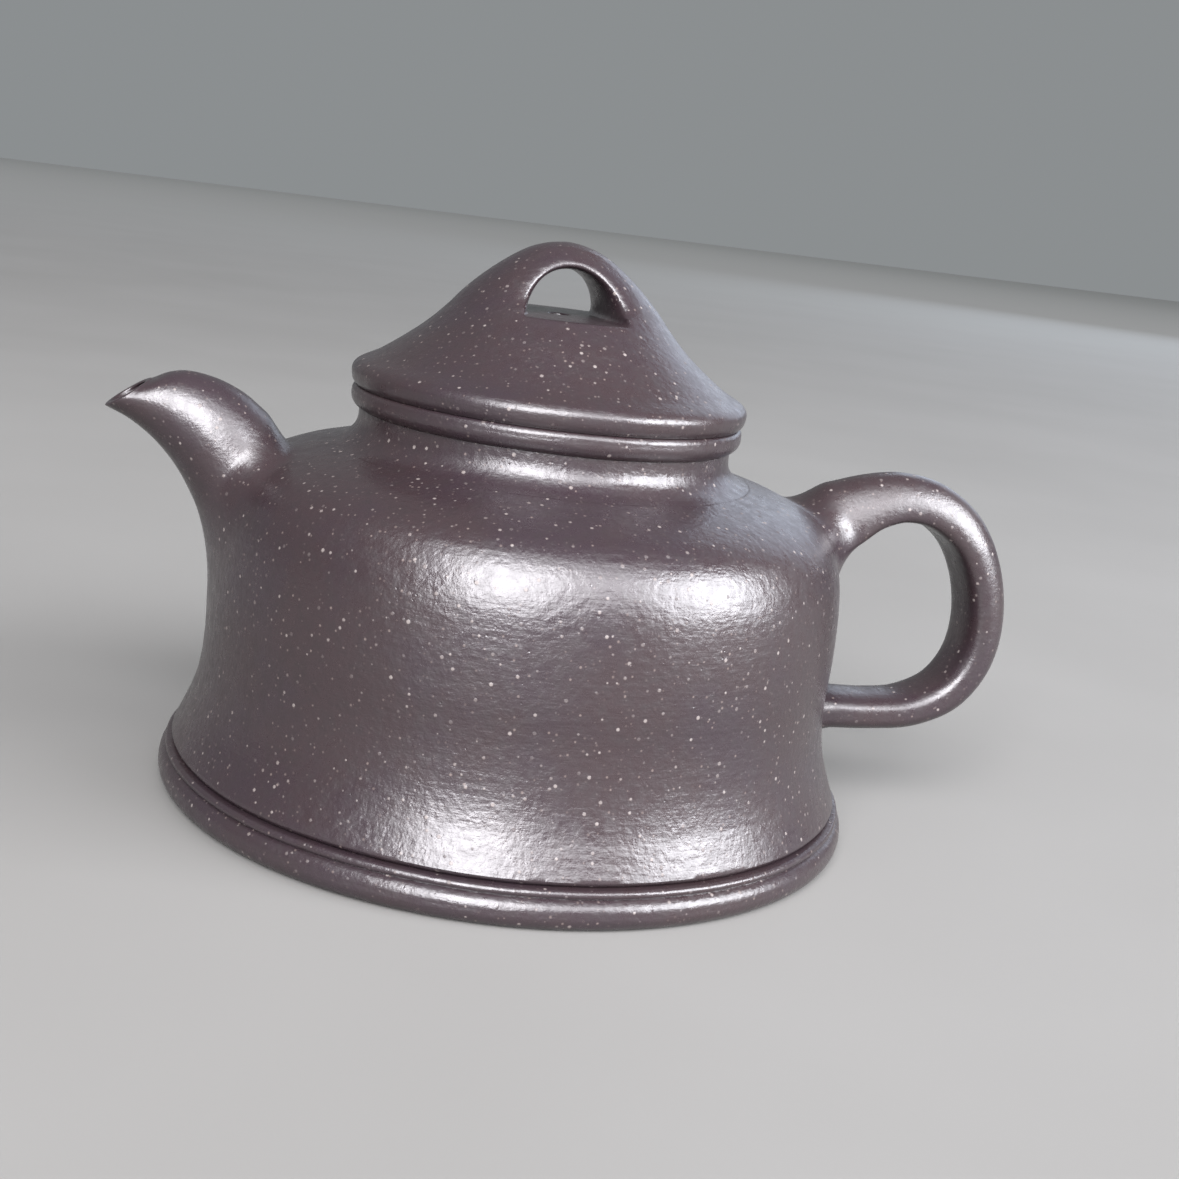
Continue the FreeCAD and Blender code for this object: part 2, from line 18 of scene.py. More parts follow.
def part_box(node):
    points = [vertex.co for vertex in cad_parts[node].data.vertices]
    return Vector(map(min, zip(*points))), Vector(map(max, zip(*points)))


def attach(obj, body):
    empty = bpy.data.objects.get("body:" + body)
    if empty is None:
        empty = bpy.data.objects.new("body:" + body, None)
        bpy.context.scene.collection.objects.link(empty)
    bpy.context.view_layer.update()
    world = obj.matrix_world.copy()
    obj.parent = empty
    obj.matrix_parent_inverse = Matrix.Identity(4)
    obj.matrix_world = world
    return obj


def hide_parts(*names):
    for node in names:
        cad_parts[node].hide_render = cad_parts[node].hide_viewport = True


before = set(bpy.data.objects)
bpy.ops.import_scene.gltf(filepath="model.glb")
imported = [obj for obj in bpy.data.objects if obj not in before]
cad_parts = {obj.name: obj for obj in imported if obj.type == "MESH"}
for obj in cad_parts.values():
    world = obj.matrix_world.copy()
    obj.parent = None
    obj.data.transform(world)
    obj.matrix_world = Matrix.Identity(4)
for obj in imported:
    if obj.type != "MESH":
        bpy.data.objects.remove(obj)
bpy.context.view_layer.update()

MM = 0.001

# %% [markdown]
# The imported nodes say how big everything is.  A turned node gives its radius, its bottom, its top
# and its bore, so no size of the pot is typed in twice.

# %% Read the sizes


def turned_size(node):
    """Outside radius, bottom, top and bore of a node turned about Z, in millimetres."""
    low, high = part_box(node)
    bore = min(math.hypot(v.co.x, v.co.y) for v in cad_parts[node].data.vertices)
    return high.x / MM, low.z / MM, high.z / MM, bore / MM


foot_radius, _, seat, base_radius = turned_size("foot_bead")
_, base_under, base_top, _ = turned_size("base_slab")
_, _, wall_top, _ = turned_size("body_wall")
_, slab_under, _, mouth_radius = turned_size("shoulder_slab")
_, _, neck_top, _ = turned_size("neck_ring")
_, _, seam, _ = turned_size("mouth_bead")
skirt_radius, skirt_low, _, skirt_bore = turned_size("lid_skirt")
_, _, rim_top, _ = turned_size("lid_rim_bead")
_, _, floor, vent_radius = turned_size("lid_cover")
cone_radius, _, crown, _ = turned_size("bridge_knob")
print("foot radius", round(foot_radius, 2), "cone radius", round(cone_radius, 2))
print("seam", round(seam, 2), "mouth radius", round(mouth_radius, 2), "crown", round(crown, 2))

# %% [markdown]
# ## Curves for the outlines
# A turned piece needs half a section.  Its round stretches are circle arcs through three points, or
# a flowing curve through a few knots, which is how a potter's rib leaves the clay: no corners where
# one member runs into the next.  A Catmull-Rom curve passes through its knots, so the knots are
# real places on the pot.

# %% Curve helpers
SAME_PLACE = 1e-4   # millimetres: points closer than this are one


def arc(start, middle, end, steps=8):
    """Points on the circle from start through middle to end."""
    a, b, c = (complex(*point) for point in (start, middle, end))
    shift = (c - a) / (b - a)
    centre = (b - a) * (shift - abs(shift) ** 2) / (2j * shift.imag) + a
    first = cmath.phase(a - centre)
    sweep = cmath.phase((c - centre) / (a - centre))
    part = cmath.phase((b - centre) / (a - centre))
    if part * sweep < 0 or abs(part) > abs(sweep):
        sweep -= math.copysign(math.tau, sweep)
    radius = abs(a - centre)
    bearings = [first + sweep * step / steps for step in range(steps + 1)]
    return [(centre.real + radius * math.cos(t), centre.imag + radius * math.sin(t))
            for t in bearings]


def flowing(knots, pitch):
    """One list of points for each span of a Catmull-Rom curve through the knots."""
    knots = [Vector(knot) for knot in knots]
    padded = [2 * knots[0] - knots[1], *knots, 2 * knots[-1] - knots[-2]]
    spans = []
    for p0, p1, p2, p3 in zip(padded, padded[1:], padded[2:], padded[3:]):
        steps = max(2, math.ceil((p2 - p1).length / pitch))
        span = []
        for step in range(steps + 1):
            t = step / steps
            point = 0.5 * (2 * p1 + (p2 - p0) * t + (2 * p0 - 5 * p1 + 4 * p2 - p3) * t ** 2
                           + (3 * p1 - p0 - 3 * p2 + p3) * t ** 3)
            span.append(tuple(point))
        spans.append(span)
    return spans


def joined(*stretches):
    """One outline from several stretches, with repeated points left out."""
    outline = []
    for stretch in stretches:
        for point in stretch:
            if not outline or math.dist(point, outline[-1]) > SAME_PLACE:
                outline.append(tuple(point))
    return outline


def even(outline, pitch, closed=True):
    """The same outline with its long straight stretches divided."""
    ends = outline[1:] + (outline[:1] if closed else [])
    result = []
    for start, end in zip(outline, ends):
        steps = max(1, math.ceil(math.dist(start, end) / pitch))
        result += [tuple(a + (b - a) * step / steps for a, b in zip(start, end))
                   for step in range(steps)]
    return result if closed else result + [outline[-1]]


# %% [markdown]
# ## The hand of the potter
# Beaten and scraped clay is never quite true.  The whole pot is moved a little by one soft field of
# noise, as if the clay had been pressed here and there.  The field depends only on place, so two
# pieces that meet are moved alike and stay closed.  Near the seat of the lid it dies away, because
# that is ground flat.  The field starts from a fixed seed, so the pot comes out alike in every run.

# %% The field that moves the clay
CLAY_SEED = 7
noise.seed_set(CLAY_SEED)
PRESSES = ((23.0, 0.10), (7.0, 0.030), (2.3, 0.010))   # wavelength and depth, millimetres
TRUE_SEAT = 3.0      # millimetres above and below the seam where the clay comes back to true
TRUE_GROUND = 2.0    # and above the ground


def worked(point):
    """Where a point of true clay, in millimetres, ends up."""
    moved = Vector((0, 0, 0))
    for wavelength, depth in PRESSES:
        moved += noise.noise_vector(point / wavelength) * depth
    seat_nearness = min(1.0, abs(point.z - seam) / TRUE_SEAT)
    ground_nearness = min(1.0, max(0.0, point.z) / TRUE_GROUND)
    moved.z *= seat_nearness * ground_nearness
    return point + moved


# %% [markdown]
# ## Turning a piece
# Spinning half a section about the axis is the quickest way to a true round member.  The section is
# a closed loop of edges, and `spin` with `use_merge` closes the last step onto the first.

# %% Turning helper
TURNS = 288
PITCH = 0.55
SHARP_EDGE = math.radians(38)


def finish_mesh(name, mesh):
    """Move the clay, turn the faces outwards and put the mesh on an object in metres."""
    for vertex in mesh.verts:
        vertex.co = worked(vertex.co)
    bmesh.ops.remove_doubles(mesh, verts=mesh.verts, dist=SAME_PLACE)
    bmesh.ops.recalc_face_normals(mesh, faces=mesh.faces)
    bmesh.ops.scale(mesh, vec=(MM, MM, MM), verts=mesh.verts)
    data = bpy.data.meshes.new(name)
    mesh.to_mesh(data)
    mesh.free()
    data.shade_smooth()
    data.set_sharp_from_angle(angle=SHARP_EDGE)
    piece = bpy.data.objects.new(name, data)
    bpy.context.scene.collection.objects.link(piece)
    print(name, len(data.polygons), "faces")
    return piece


def turned_mesh(outline, closed=True):
    """A bmesh, in millimetres, of an outline spun about Z."""
    mesh = bmesh.new()
    ring = [mesh.verts.new((r, 0, z)) for r, z in outline]
    pairs = zip(ring, ring[1:] + ring[:1] if closed else ring[1:])
    edges = [mesh.edges.new(pair) for pair in pairs]
    bmesh.ops.spin(mesh, geom=ring + edges, cent=(0, 0, 0), axis=(0, 0, 1), dvec=(0, 0, 0),
                   angle=math.tau, steps=TURNS, use_merge=True)
    bmesh.ops.remove_doubles(mesh, verts=mesh.verts, dist=SAME_PLACE)
    return mesh


def turned_piece(name, outline, closed=True):
    return finish_mesh(name, turned_mesh(even(outline, PITCH, closed), closed))


# %% [markdown]
# ## The clay
# Purple clay is left unglazed.  It is dark, a little red in the light, and full of pale sand grains
# that the fire leaves as tan specks.  Rubbing the damp clay with a horn rib presses the surface to a
# soft sheen and leaves fine level streaks.  All of it is worked out from Object coordinates, so the
# pattern runs unbroken from piece to piece.  Beads, spout and handle are smoothed with the fingers,
# which leaves them less rippled than the wall.

# %% Node helpers


class Nodes:
    """A short way to add and join shader nodes in one material."""

    def __init__(self, material):
        material.use_nodes = True
        self.tree = material.node_tree
        self.tree.nodes.clear()

    def add(self, kind, settings=None, **inputs):
        """A node; an input is given by its name, or as i and its number."""
        node = self.tree.nodes.new(kind)
        for key, value in (settings or {}).items():
            setattr(node, key, value)
        for key, value in inputs.items():
            numbered = key[1:].isdigit()
            socket = node.inputs[int(key[1:]) if numbered else key.replace("_", " ")]
            if isinstance(value, bpy.types.NodeSocket):
                self.tree.links.new(value, socket)
            else:
                socket.default_value = value
        return node

    def maths(self, operation, first, second=0.0, third=0.0):
        settings = {"operation": operation}
        return self.add("ShaderNodeMath", settings, i0=first, i1=second, i2=third).outputs[0]

    def mix(self, share, first, second):
        node = self.add("ShaderNodeMix", {"data_type": "RGBA"}, i0=share, i6=first, i7=second)
        return node.outputs[2]

    def ramp(self, value, low, high, out_low=0.0, out_high=1.0):
        """A smooth step from one value to another."""
        settings = {"interpolation_type": "SMOOTHSTEP"}
        return self.add("ShaderNodeMapRange", settings, i0=value, i1=low, i2=high,
                        i3=out_low, i4=out_high).outputs[0]


# %% The clay material
CLAY_DARK = (0.0135, 0.0088, 0.0098, 1)
CLAY_BROWN = (0.0200, 0.0124, 0.0138, 1)
CLAY_PURPLE = (0.0185, 0.0120, 0.0150, 1)
SAND_TAN = (0.118, 0.092, 0.083, 1)
SAND_PALE = (0.145, 0.124, 0.116, 1)
SPECK_EDGE = (-0.06, 0.10)   # a speck fades out over this distance, millimetres
RUBBED = (0.25, 0.37)        # roughness of rubbed clay, from its sleekest to its dullest
SCRAPE = 0.35                # what scraping adds to the roughness
SHEEN = (0.30, 0.40)         # specular level as scraped, and what rubbing adds
STREAKS = (9.0, 0.9, 1.5)    # streaks in a radian, in a millimetre outwards and in one upwards
# heights of the relief, millimetres
STREAK_HEIGHT = 0.045
SKIN_HEIGHT = 0.022
SCRAPE_HEIGHT = 0.03
SAND_HEIGHT = 0.018
PIT_DEPTH = 0.03


def grains(nodes, place, spacing, smallest, largest, share):
    """Specks scattered about one in each cell: how much of a speck there is, and its own number."""
    cells = nodes.add("ShaderNodeTexVoronoi", {"feature": "F1"}, Vector=place, Scale=1 / spacing)
    own = nodes.add("ShaderNodeSeparateColor", i0=cells.outputs["Color"])
    distance = nodes.maths("MULTIPLY", cells.outputs["Distance"], spacing)
    radius = nodes.ramp(own.outputs[0], 0.0, 1.0, smallest, largest)
    inside = nodes.maths("SUBTRACT", radius, distance)
    speck = nodes.ramp(inside, *SPECK_EDGE)
    chosen = nodes.maths("LESS_THAN", own.outputs[1], share)
    return nodes.maths("MULTIPLY", speck, chosen), own.outputs[2]


def clay(name, polish, ripple=0.080):
    """Purple clay; polish runs from 0, as scraped, to 1, as rubbed with a horn rib."""
    material = bpy.data.materials.new(name)
    nodes = Nodes(material)
    place = nodes.add("ShaderNodeTexCoord").outputs["Object"]
    mm = nodes.add("ShaderNodeVectorMath", {"operation": "SCALE"}, i0=place, Scale=1 / MM).outputs[0]

    # clouds of slightly redder and slightly darker clay
    clouds = nodes.add("ShaderNodeTexNoise", Vector=mm, Scale=0.055, Detail=4.0, Roughness=0.6)
    mottle = nodes.add("ShaderNodeTexNoise", Vector=mm, Scale=0.55, Detail=5.0, Roughness=0.65)
    tone = nodes.mix(nodes.ramp(clouds.outputs[0], 0.38, 0.62), CLAY_PURPLE, CLAY_BROWN)
    tone = nodes.mix(nodes.ramp(mottle.outputs[0], 0.42, 0.72, 0.0, 0.55), tone, CLAY_DARK)

    # sand: large pale grains, smaller and fainter tan ones, and dark pits
    large, large_own = grains(nodes, mm, spacing=1.45, smallest=0.13, largest=0.27, share=0.92)
    small, small_own = grains(nodes, mm, spacing=0.85, smallest=0.07, largest=0.19, share=0.80)
    pits, _ = grains(nodes, mm, spacing=1.3, smallest=0.05, largest=0.16, share=0.35)
    sand = nodes.mix(large_own, SAND_TAN, SAND_PALE)
    tone = nodes.mix(nodes.maths("MULTIPLY", pits, 0.6), tone, CLAY_DARK)
    faint = nodes.maths("POWER", small_own, 1.6)
    bright = nodes.maths("POWER", large_own, 1.1)
    tone = nodes.mix(nodes.maths("MULTIPLY", small, nodes.ramp(faint, 0.0, 1.0, 0.10, 0.70)),
                     tone, SAND_TAN)
    tone = nodes.mix(nodes.maths("MULTIPLY", large, nodes.ramp(bright, 0.0, 1.0, 0.15, 0.90)),
                     tone, sand)

    # level streaks of the rib: noise drawn out round the axis
    parts = nodes.add("ShaderNodeSeparateXYZ", i0=mm)
    bearing = nodes.maths("ARCTAN2", parts.outputs[1], parts.outputs[0])
    reach = nodes.add("ShaderNodeCombineXYZ", i0=parts.outputs[0], i1=parts.outputs[1])
    radius = nodes.add("ShaderNodeVectorMath", {"operation": "LENGTH"}, i0=reach.outputs[0])
    streak_place = nodes.add("ShaderNodeCombineXYZ",
                             i0=nodes.maths("MULTIPLY", bearing, STREAKS[0]),
                             i1=nodes.maths("MULTIPLY", radius.outputs["Value"], STREAKS[1]),
                             i2=nodes.maths("MULTIPLY", parts.outputs[2], STREAKS[2]))
    streaks = nodes.add("ShaderNodeTexNoise", Vector=streak_place.outputs[0], Scale=1.0,
                        Detail=3.0, Roughness=0.6)

    # relief, in millimetres: lumps, streaks, fine grain, proud sand and pits
    lumps = nodes.add("ShaderNodeTexNoise", Vector=mm, Scale=1.05, Detail=2.0, Roughness=0.5)
    skin = nodes.add("ShaderNodeTexNoise", Vector=mm, Scale=3.2, Detail=3.0, Roughness=0.6)
    height = nodes.maths("MULTIPLY", lumps.outputs[0], ripple)
    height = nodes.maths("MULTIPLY_ADD", streaks.outputs[0], STREAK_HEIGHT, height)
    skin_height = SKIN_HEIGHT + SCRAPE_HEIGHT * (1 - polish)
    height = nodes.maths("MULTIPLY_ADD", skin.outputs[0], skin_height, height)
    height = nodes.maths("MULTIPLY_ADD", large, SAND_HEIGHT, height)
    height = nodes.maths("MULTIPLY_ADD", pits, -PIT_DEPTH, height)
    bump = nodes.add("ShaderNodeBump", Strength=1.0, Distance=MM, Height=height)

    rubbed = nodes.ramp(mottle.outputs[0], 0.3, 0.7, *RUBBED)
    rough = nodes.maths("ADD", rubbed, SCRAPE * (1 - polish))
    rough = nodes.maths("MULTIPLY_ADD", large, 0.25, rough)
    shader = nodes.add("ShaderNodeBsdfPrincipled", Base_Color=tone, Roughness=rough,
                       Normal=bump.outputs[0])
    shader.inputs["Specular IOR Level"].default_value = SHEEN[0] + SHEEN[1] * polish
    nodes.add("ShaderNodeOutputMaterial", Surface=shader.outputs[0])
    return material


rubbed_clay = clay("rubbed_clay", polish=1.0)
fingered_clay = clay("fingered_clay", polish=1.0, ripple=0.045)
scraped_clay = clay("scraped_clay", polish=0.15)
print("clay ready")

# %% [markdown]
# ## The foot
# The foot is a rolled bead with a thin fillet line above it, and a cut line parts it from the wall.
# The pot stands on a narrow flat land inside the bead, so that it does not rock.

# %% Foot bead
land_in = base_radius + 0.6
land_out = base_radius + 4.2
bead_out = foot_radius - 0.15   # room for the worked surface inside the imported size
fillet = foot_radius - 1.0
cut_line = foot_radius - 2.75
foot_bead = turned_piece("clay_foot_bead", joined(
    arc((base_radius, 0.6), (base_radius + 0.18, 0.18), (land_in, 0), 4),
    arc((land_out, 0), (bead_out - 0.25, 0.9), (bead_out, 2.4), 12),
    arc((bead_out, 2.4), (bead_out - 0.35, 3.5), (fillet - 0.25, 4.1), 12),
    arc((fillet - 0.30, 4.18), (fillet + 0.08, 4.50), (fillet - 0.42, 5.30), 8),
    [(cut_line + 0.3, 5.37), (cut_line, seat), (base_radius, seat)],
))

# %% [markdown]
# ## The base slab
# A flat disc of clay closes the bottom.  It stands a little above the table inside the foot.

# %% Base slab
base_slab = turned_piece("clay_base_slab", [
    (0, base_under), (base_radius, base_under), (base_radius, base_top), (0, base_top)], closed=False)

# %% [markdown]
# ## The wall, the top slab and the neck
# From the cut line the skin of the pot runs in one flowing line: a hollow flare, an upright belly, a
# rounded shoulder, the top slab and the hollow neck.  It is drawn once and handed out span by span,
# so the joints between the members cannot be seen, as on a pot that has been well smoothed.

# %% The skin
SKIN_KNOTS = [
    (48.30, seat + 0.75),
    (47.20, seat + 3.4),
    (46.10, seat + 6.4),
    (45.20, seat + 10.4),
    (44.80, seat + 15.6),
    (44.90, seat + 22.0),
    (44.65, seat + 28.6),
    (43.90, seat + 33.6),
    (42.30, neck_top - 11.25),
    (39.80, neck_top - 8.65),
    (36.00, neck_top - 6.85),
    (33.00, neck_top - 5.90),
    (29.60, neck_top - 4.95),
    (27.90, neck_top - 4.20),
    (26.75, neck_top - 3.05),
    (26.25, neck_top - 1.75),
    (26.20, neck_top),
]
SLAB_KNOT = 10   # the knot where the top slab starts
NECK_KNOT = 12   # and the one where the neck starts
slab_start, slab_level = SKIN_KNOTS[SLAB_KNOT]
neck_radius = SKIN_KNOTS[-1][0]
spans = flowing(SKIN_KNOTS, PITCH)
wall_spans = spans[:SLAB_KNOT]
slab_spans = spans[SLAB_KNOT:NECK_KNOT]
neck_spans = spans[NECK_KNOT:]
neck_level = SKIN_KNOTS[NECK_KNOT][1]
slab_inside = slab_level - (wall_top - slab_under)
inner_radius = 42.0

# %% Wall, top slab and neck
wall_outline = joined(
    arc((cut_line, seat), (cut_line + 0.75, seat + 0.22), SKIN_KNOTS[0], 8),
    *wall_spans,
    arc((slab_start, slab_inside), (40.3, slab_inside - 2.4), (inner_radius, slab_inside - 8.2), 16),
    arc((inner_radius, seat + 1.2), (inner_radius - 0.3, seat + 0.3), (inner_radius - 1.2, seat), 4),
)
wall_mesh = turned_mesh(even(wall_outline, PITCH))
shoulder_slab = turned_piece("clay_shoulder_slab", joined(
    *slab_spans, [(mouth_radius, neck_level), (mouth_radius, slab_inside + 0.5),
                  (mouth_radius + 0.5, slab_inside), (slab_start, slab_inside)]))
neck_ring = turned_piece("clay_neck_ring", joined(
    *neck_spans, [(mouth_radius, neck_top), (mouth_radius, neck_level)]))

# %% [markdown]
# ## The mouth bead
# The bead round the mouth and the bead round the lid are twins: closed, they read as one double line.

# %% Mouth bead
bead_side = (27.45, neck_top + 2.2)
mouth_bead = turned_piece("clay_mouth_bead", joined(
    [(mouth_radius, neck_top), (neck_radius, neck_top)],
    arc((26.35, neck_top + 0.05), (27.3, neck_top + 0.95), bead_side, 10),
    arc(bead_side, (27.3, seam - 0.35), (26.9, seam - 0.04), 6),
    [(26.5, seam), (mouth_radius + 0.3, seam), (mouth_radius, seam - 0.3)],
))

# %% [markdown]
# ## Straining holes
# Where the spout will stand, the potter pierces the wall with a few small holes that hold back the
# leaves.  Six are set in a ring about one, and all seven are drilled along the spout's lean.

# %% Boolean helper


def loose_object(mesh):
    """A bmesh as an object, for a modifier to work on."""
    data = bpy.data.meshes.new("blank")
    mesh.to_mesh(data)
    mesh.free()
    blank = bpy.data.objects.new("blank", data)
    bpy.context.scene.collection.objects.link(blank)
    return blank


def carved(mesh, tools, voxel=0.0):
    """The mesh with the tools cut away and, if a voxel size is given, knit into even squares."""
    blank = loose_object(mesh)
    tools = [loose_object(tool) for tool in tools]
    for tool in tools:
        cut = blank.modifiers.new("cut", "BOOLEAN")
        cut.operation = "DIFFERENCE"
        cut.object = tool
    if voxel:
        knit = blank.modifiers.new("knit", "REMESH")
        knit.mode = "VOXEL"
        knit.voxel_size = voxel
    result = bmesh.new()
    result.from_object(blank, bpy.context.evaluated_depsgraph_get())
    for used in [blank, *tools]:
        data = used.data
        bpy.data.objects.remove(used)
        bpy.data.meshes.remove(data)
    return result


def rod(centre, along, radius, length, segments=32):
    """A round bar in millimetres with its middle at centre."""
    mesh = bmesh.new()
    turn = Vector(along).to_track_quat("Z", "Y").to_matrix().to_4x4()
    bmesh.ops.create_cone(mesh, cap_ends=True, segments=segments, radius1=radius, radius2=radius,
                          depth=length, matrix=Matrix.Translation(centre) @ turn)
    return mesh


# %% Pierce the wall
HOLE_RADIUS = 1.4
HOLE_PITCH = 4.2
HOLE_CENTRE = Vector((-42.6, 0, 42.4))
HOLE_LEAN = math.radians(58)
DRILL_LENGTH = 12
hole_axis = Vector((-math.sin(HOLE_LEAN), 0, math.cos(HOLE_LEAN)))
hole_side = Vector((math.cos(HOLE_LEAN), 0, math.sin(HOLE_LEAN)))
places = [HOLE_CENTRE]
for sixth in range(6):
    bearing = math.tau * sixth / 6
    places.append(HOLE_CENTRE + HOLE_PITCH * (math.cos(bearing) * hole_side
                                              + math.sin(bearing) * Vector((0, 1, 0))))
wall_mesh = carved(wall_mesh, [rod(place, hole_axis, HOLE_RADIUS, DRILL_LENGTH) for place in places])
body_wall = finish_mesh("clay_body_wall", wall_mesh)

# %% [markdown]
# ## Spout and handle: tubes that flare onto the pot
# A spout or a handle is rolled apart, pressed on with slip, and the joint is rubbed until it runs into
# the wall.  Both are drawn ring by ring: a circle is extruded again and again, and each new ring is
# laid by a rule.  Where the piece meets the pot, the rings follow a curve that leaves the pot's skin
# flat against it and ends along the piece, so the joint is as smooth as a rubbed one.

# %% Skin to land on
skin_outline = joined(*wall_spans, *slab_spans, *neck_spans)
skin_mesh = turned_mesh(even(skin_outline, PITCH, closed=False), closed=False)
skin = BVHTree.FromBMesh(skin_mesh)
skin_mesh.free()
SHOULDER_LEVEL = 48.0   # above this the skin faces up as well as out
ACROSS = Vector((0, 1, 0))
UP = Vector((0, 0, 1))


def on_skin(point, depth=0.0):
    """The nearest place on the pot's skin, or that far under it, and the skin's outward direction."""
    place, normal, _, _ = skin.find_nearest(point)
    outward = Vector((place.x, place.y, 0)).normalized()
    if place.z > SHOULDER_LEVEL:
        outward += UP
    if normal.dot(outward) < 0:
        normal = -normal
    return place - normal * depth, normal


# %% Ring helper


def drawn_tube(rings, segments):
    """A tube extruded ring after ring; each ring is a rule from a bearing to a place."""
    mesh = bmesh.new()
    bearings = mesh.verts.layers.float.new("bearing")
    verts = bmesh.ops.create_circle(mesh, segments=segments, radius=1.0)["verts"]
    for vertex in verts:
        vertex[bearings] = math.atan2(vertex.co.y, vertex.co.x)
        vertex.co = rings[0](vertex[bearings])
    edges = mesh.edges[:]
    for ring in rings[1:]:
        grown = bmesh.ops.extrude_edge_only(mesh, edges=edges)["geom"]
        verts = {item for item in grown if isinstance(item, bmesh.types.BMVert)}
        edges = [edge for edge in grown if isinstance(edge, bmesh.types.BMEdge)
                 and edge.verts[0] in verts and edge.verts[1] in verts]
        for vertex in verts:
            vertex.co = ring(vertex[bearings])
    mesh.verts.layers.float.remove(bearings)
    return mesh


PIECE_PULL = 0.75   # how strongly a flare follows the piece, where the skin's pull is 1


def flare_rings(root, after, spread, steps=14, depth=0.3, lip=0.15):
    """Rings from just under the pot's skin up to the root ring of a piece.

    root and after are the piece's first two rings; spread says how far the foot of the flare
    stands out from the root at a bearing.  The first ring lies under the skin, by depth, and
    outside the flare's foot, by lip.
    """
    memory = {}

    def ends(bearing):
        if bearing not in memory:
            start = root(bearing)
            centre = (root(0.0) + root(math.pi)) / 2
            outward = (start - centre).normalized()
            landing, normal = on_skin(start + outward * spread(bearing))
            along = (after(bearing) - start).normalized()
            inward = start - landing
            inward -= inward.dot(normal) * normal
            inward.normalize()
            reach = (start - landing).length
            memory[bearing] = landing, inward * reach, start, along * reach * PIECE_PULL
        return memory[bearing]

    def rule(t):
        def place(bearing):
            p0, d0, p1, d1 = ends(bearing)
            if t < 0:
                return on_skin(p0 - d0.normalized() * lip, depth)[0]
            return ((2 * t ** 3 - 3 * t ** 2 + 1) * p0 + (t ** 3 - 2 * t ** 2 + t) * d0
                    + (3 * t ** 2 - 2 * t ** 3) * p1 + (t ** 3 - t ** 2) * d1)
        return place

    return [rule(-1)] + [rule(step / steps) for step in range(steps)]


# %% [markdown]
# ## The spout
# A short cannon spout: it leaves the shoulder on a slant, bends a little towards level and thins to a
# mouth that is cut on a slant, with its lower lip furthest out.  The rings lean with it: the last one
# lies in the plane of the mouth.

# %% Spout
# across, up, lean of the ring from level, radius, thickness of the wall
SPOUT_STATIONS = [
    (-43.4, 46.0, 54.0, 7.70, 2.4),
    (-45.8, 48.6, 57.0, 7.05, 2.2),
    (-48.7, 50.8, 60.0, 6.15, 1.9),
    (-51.9, 52.4, 60.0, 5.10, 1.6),
    (-54.7, 53.2, 50.0, 4.25, 1.3),
    (-57.25, 53.25, 35.0, 3.60, 0.95),
]


def spout_ring(station, inset=0.0, lift=0.0):
    """A round ring of the spout; inset brings it in from the outside, lift moves it forward."""
    across, up, lean, radius, _ = station
    lean = math.radians(lean)
    side = Vector((math.cos(lean), 0, math.sin(lean)))
    forward = Vector((-math.sin(lean), 0, math.cos(lean)))
    middle = Vector((across, 0, up)) + forward * lift
    return lambda bearing: middle + (radius - inset) * (math.cos(bearing) * side
                                                        + math.sin(bearing) * ACROSS)


def spout_spread(bearing):
    """The foot of the flare runs far down the wall and stays short on the shoulder."""
    return 7.0 - 5.6 * math.cos(bearing) + 3.4 * math.cos(bearing) ** 2


line = [Vector(point) for span in flowing(SPOUT_STATIONS, 1.2) for point in span[:-1]]
line.append(Vector(SPOUT_STATIONS[-1]))
outside = [spout_ring(station) for station in line]
channel = [spout_ring(station, inset=station[4]) for station in reversed(line)]
LIP_STEPS = 8
LIP_ROUNDNESS = 0.4
mouth = line[-1]
half = mouth[4] / 2
lip_turns = [math.pi * step / LIP_STEPS for step in range(1, LIP_STEPS)]
lip_rings = [spout_ring(mouth, half * (1 - math.cos(turn)), LIP_ROUNDNESS * half * math.sin(turn))
             for turn in lip_turns]
flare = flare_rings(outside[0], outside[1], spout_spread)
ROOT_DEPTH = 0.25


def buried(share):
    """A ring under the pot's skin; four of them close the root of the spout."""
    def place(bearing):
        start = channel[-1](bearing)
        return on_skin(start.lerp(flare[0](bearing), share), ROOT_DEPTH)[0]
    return place


root_rings = [buried(share) for share in (0.0, 0.25, 0.5, 0.75)] + [flare[0]]
spout = finish_mesh("clay_spout", drawn_tube(flare + outside + lip_rings + channel + root_rings, 128))

# %% [markdown]
# ## The handle
# The handle is an ear of rolled clay, rounded outside and pressed flat inside, so that it has two
# soft ridges where a finger bears.  Its top grows out of the shoulder in a broad flare, and its foot
# is set straight against the wall.

# %% Handle
# across, up, half the thickness, half the width
EAR_KNOTS = [
    (45.8, 45.5, 4.70, 5.9),
    (50.2, 47.7, 3.80, 5.3),
    (55.2, 48.75, 3.40, 4.9),
    (60.7, 47.75, 3.30, 4.8),
    (65.95, 44.1, 3.30, 5.0),
    (69.55, 38.2, 3.30, 5.0),
    (71.25, 31.2, 3.30, 5.0),
    (70.6, 24.6, 3.25, 5.0),
    (67.2, 19.35, 3.05, 5.0),
    (61.5, 16.45, 2.85, 5.0),
    (55.6, 15.7, 2.78, 5.0),
    (49.0, 15.6, 2.88, 5.1),
]
ear_line = [Vector(point) for span in flowing(EAR_KNOTS, 1.0) for point in span[:-1]]
ear_line.append(Vector(EAR_KNOTS[-1]))
SIDE_FULLNESS = 0.85
INWARD_LEAN = (0.18, 0.37)   # how far inwards it is widest: where it runs upright, and more on top
INNER_POWER = (0.59, 0.74)   # how flat the inner face is, eased where the ring leans
FOOT_SPREAD = 0.9


